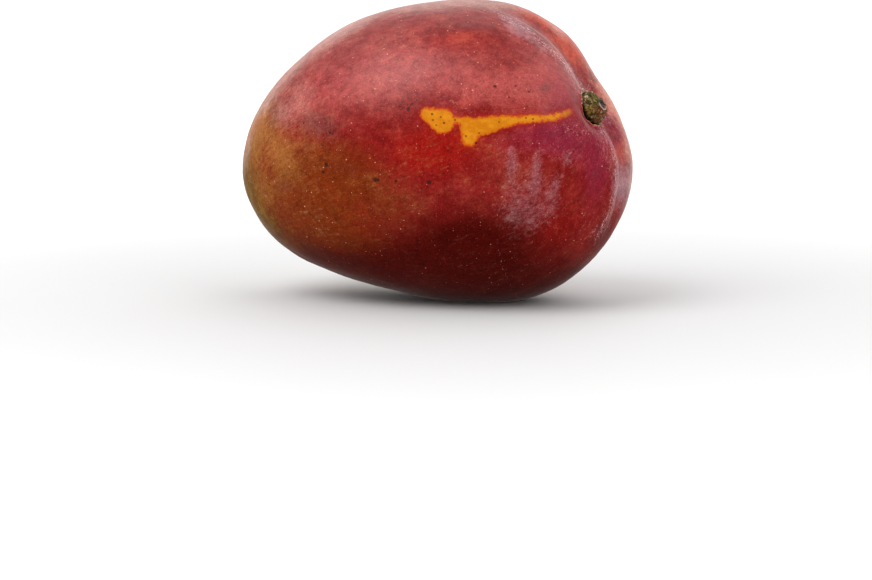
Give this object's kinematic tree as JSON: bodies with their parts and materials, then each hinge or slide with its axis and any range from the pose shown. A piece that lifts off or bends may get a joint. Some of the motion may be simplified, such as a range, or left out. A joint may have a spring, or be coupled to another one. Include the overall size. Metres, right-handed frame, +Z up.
{
  "type": "mango",
  "caption": "Whole ripe red mango with the cut stub of its stem, resting on a small flat spot.",
  "frame": {"origin": "middle of the bounding box in plan, at the level of the flat spot it rests on", "axes": "+Z up, +X along the length towards the stem end, which is lifted; the cheek with the scar faces -Y"},
  "size_m": [0.1222, 0.0854, 0.0912],
  "materials": {
    "mango_skin": "waxy semi-gloss fruit skin, crimson with yellow-green at the apex end",
    "stem_wood": "dry rough stem, olive brown, cut face grey"
  },
  "bodies": {
    "root": {"fruit": "mango_skin", "stem": "stem_wood"}
  },
  "joints": []
}
